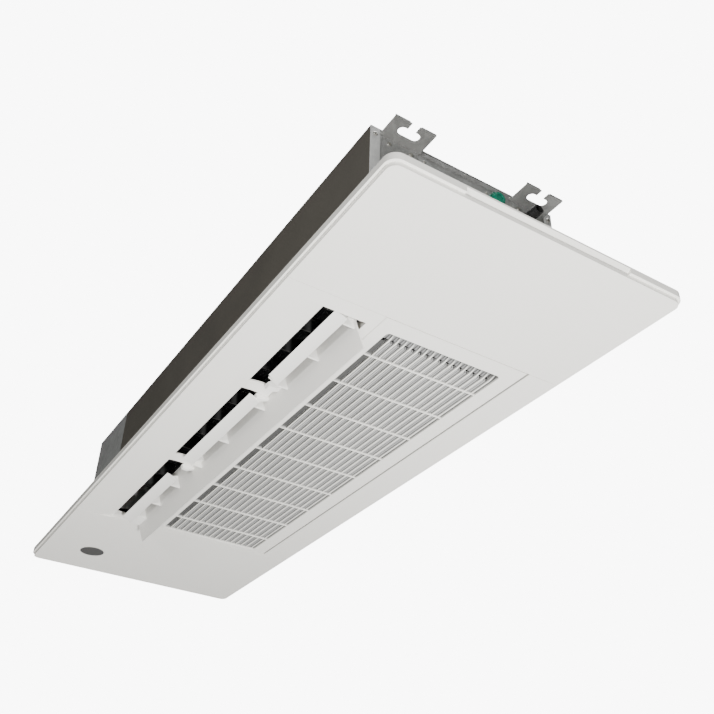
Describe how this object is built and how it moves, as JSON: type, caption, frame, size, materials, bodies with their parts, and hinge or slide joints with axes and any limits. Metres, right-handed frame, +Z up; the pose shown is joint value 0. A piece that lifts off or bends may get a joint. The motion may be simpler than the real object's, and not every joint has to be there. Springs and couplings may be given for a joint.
{
  "type": "one-way cassette air conditioner",
  "caption": "Slim ceiling cassette unit with a long flat white panel, a hinged slatted intake grille and one turning outlet louver along the side.",
  "frame": {"origin": "a point near the middle of the panel in the plane of the ceiling, at the back of the panel rim", "axes": "+X along the unit to the pipe end, -Y to the outlet side, +Y to the return side, +Z up into the ceiling"},
  "size_m": [1.16, 0.3845, 0.2236],
  "materials": {
    "panel_white": "fine moulded white plastic, slightly warm",
    "grille_white": "fine moulded white plastic",
    "louver_white": "smooth moulded white plastic",
    "window_black": "dark smoked receiver window",
    "board_green": "green circuit board with dark parts",
    "motor_grey": "light grey motor and pump bodies",
    "catch_plastic": "plain moulded plastic",
    "seal_foam": "dark foam strip",
    "duct_black": "black moulded plastic",
    "galvanised": "galvanised sheet with a soft spangle",
    "screw_steel": "zinc plated fasteners",
    "casing_dark": "dark lined sheet",
    "air_foam": "moulded foam air path, dark",
    "fin_aluminium": "pressed fin pack",
    "copper_tube": "drawn copper tube",
    "hose_grey": "flexible hose",
    "spigot_black": "black rubber spigot",
    "plug_green": "green moulded cap",
    "filter_net": "grey net in a moulded frame",
    "rotor_grey": "dark grey moulded rotor"
  },
  "bodies": {
    "casing": {"panel_frame": "panel_white", "near_end_cover": "panel_white", "far_end_cover": "panel_white", "receiver_window": "window_black", "receiver_board": "board_green", "louver_supports": "panel_white", "louver_motor": "motor_grey", "catch_sockets": "catch_plastic", "panel_seal": "seal_foam", "panel_bolts": "screw_steel", "vane_carrier": "duct_black", "casing_top": "galvanised", "outlet_side_plate": "casing_dark", "return_side_plate": "casing_dark", "pipe_end_plate": "galvanised", "far_end_plate": "galvanised", "hanger_near_outlet": "galvanised", "hanger_near_return": "galvanised", "hanger_far_outlet": "galvanised", "hanger_far_return": "galvanised", "casing_screws": "screw_steel", "scroll_housing": "air_foam", "drain_pan": "air_foam", "fan_motor": "motor_grey", "motor_bracket": "galvanised", "fan_bearing": "galvanised", "coil_fins": "fin_aluminium", "coil_bends": "copper_tube", "coil_end_plates": "galvanised", "gas_pipe": "copper_tube", "liquid_pipe": "copper_tube", "pipe_clamp": "galvanised", "drain_pump": "motor_grey", "drain_hose": "hose_grey", "drain_spigot": "spigot_black", "test_plug": "plug_green", "electric_box": "galvanised", "electric_cover": "galvanised", "control_board": "board_green"},
    "grille_door": {"intake_grille": "grille_white", "air_filter": "filter_net", "grille_hinge_pins": "screw_steel"},
    "louver": {"louver_plate": "louver_white", "guide_blade": "louver_white"},
    "fan": {"fan_rotor": "rotor_grey", "fan_shaft": "screw_steel"},
    "pump_wheel": {"pump_impeller": "rotor_grey"},
    "swing_link": {"vane_link": "duct_black"},
    "swing_vane_01": {"vane_01": "duct_black"},
    "swing_vane_02": {"vane_02": "duct_black"},
    "swing_vane_03": {"vane_03": "duct_black"},
    "swing_vane_04": {"vane_04": "duct_black"},
    "swing_vane_05": {"vane_05": "duct_black"},
    "swing_vane_06": {"vane_06": "duct_black"},
    "swing_vane_07": {"vane_07": "duct_black"},
    "swing_vane_08": {"vane_08": "duct_black"},
    "swing_vane_09": {"vane_09": "duct_black"},
    "swing_vane_10": {"vane_10": "duct_black"},
    "swing_vane_11": {"vane_11": "duct_black"},
    "swing_vane_12": {"vane_12": "duct_black"}
  },
  "joints": [
    {"name": "grille_hinge", "type": "hinge", "parent": "casing", "child": "grille_door", "pos_m": [0.038, 0.132, -0.008], "axis": [1, 0, 0], "range_deg": [0, 85]},
    {"name": "louver_hinge", "type": "hinge", "parent": "casing", "child": "louver", "pos_m": [0.025, -0.098, -0.0075], "axis": [1, 0, 0], "range_deg": [-109.6, 4]},
    {"name": "fan_spin", "type": "hinge", "parent": "casing", "child": "fan", "pos_m": [0.025, -0.072, 0.098], "axis": [1, 0, 0], "continuous": true},
    {"name": "pump_spin", "type": "hinge", "parent": "casing", "child": "pump_wheel", "pos_m": [0.412, 0, 0.04], "axis": [0, 0, 1], "continuous": true},
    {"name": "swing_slide", "type": "slide", "parent": "casing", "child": "swing_link", "axis": [1, 0, 0], "range_m": [-0.0085, 0.0085]},
    {"name": "vane_01_turn", "type": "hinge", "parent": "casing", "child": "swing_vane_01", "pos_m": [0.3214, -0.0865, 0.03], "axis": [0, 0, 1], "range_deg": [-25, 25]},
    {"name": "vane_02_turn", "type": "hinge", "parent": "casing", "child": "swing_vane_02", "pos_m": [0.2699, -0.0865, 0.03], "axis": [0, 0, 1], "range_deg": [-25, 25]},
    {"name": "vane_03_turn", "type": "hinge", "parent": "casing", "child": "swing_vane_03", "pos_m": [0.2184, -0.0865, 0.03], "axis": [0, 0, 1], "range_deg": [-25, 25]},
    {"name": "vane_04_turn", "type": "hinge", "parent": "casing", "child": "swing_vane_04", "pos_m": [0.1669, -0.0865, 0.03], "axis": [0, 0, 1], "range_deg": [-25, 25]},
    {"name": "vane_05_turn", "type": "hinge", "parent": "casing", "child": "swing_vane_05", "pos_m": [0.1154, -0.0865, 0.03], "axis": [0, 0, 1], "range_deg": [-25, 25]},
    {"name": "vane_06_turn", "type": "hinge", "parent": "casing", "child": "swing_vane_06", "pos_m": [0.0639, -0.0865, 0.03], "axis": [0, 0, 1], "range_deg": [-25, 25]},
    {"name": "vane_07_turn", "type": "hinge", "parent": "casing", "child": "swing_vane_07", "pos_m": [0.0124, -0.0865, 0.03], "axis": [0, 0, 1], "range_deg": [-25, 25]},
    {"name": "vane_08_turn", "type": "hinge", "parent": "casing", "child": "swing_vane_08", "pos_m": [-0.0391, -0.0865, 0.03], "axis": [0, 0, 1], "range_deg": [-25, 25]},
    {"name": "vane_09_turn", "type": "hinge", "parent": "casing", "child": "swing_vane_09", "pos_m": [-0.0906, -0.0865, 0.03], "axis": [0, 0, 1], "range_deg": [-25, 25]},
    {"name": "vane_10_turn", "type": "hinge", "parent": "casing", "child": "swing_vane_10", "pos_m": [-0.1421, -0.0865, 0.03], "axis": [0, 0, 1], "range_deg": [-25, 25]},
    {"name": "vane_11_turn", "type": "hinge", "parent": "casing", "child": "swing_vane_11", "pos_m": [-0.1936, -0.0865, 0.03], "axis": [0, 0, 1], "range_deg": [-25, 25]},
    {"name": "vane_12_turn", "type": "hinge", "parent": "casing", "child": "swing_vane_12", "pos_m": [-0.2451, -0.0865, 0.03], "axis": [0, 0, 1], "range_deg": [-25, 25]}
  ],
  "couplings": [
    {"joint": "vane_01_turn", "follows": "swing_slide", "rad_per_m": 51.02},
    {"joint": "vane_02_turn", "follows": "swing_slide", "rad_per_m": 51.02},
    {"joint": "vane_03_turn", "follows": "swing_slide", "rad_per_m": 51.02},
    {"joint": "vane_04_turn", "follows": "swing_slide", "rad_per_m": 51.02},
    {"joint": "vane_05_turn", "follows": "swing_slide", "rad_per_m": 51.02},
    {"joint": "vane_06_turn", "follows": "swing_slide", "rad_per_m": 51.02},
    {"joint": "vane_07_turn", "follows": "swing_slide", "rad_per_m": 51.02},
    {"joint": "vane_08_turn", "follows": "swing_slide", "rad_per_m": 51.02},
    {"joint": "vane_09_turn", "follows": "swing_slide", "rad_per_m": 51.02},
    {"joint": "vane_10_turn", "follows": "swing_slide", "rad_per_m": 51.02},
    {"joint": "vane_11_turn", "follows": "swing_slide", "rad_per_m": 51.02},
    {"joint": "vane_12_turn", "follows": "swing_slide", "rad_per_m": 51.02}
  ]
}
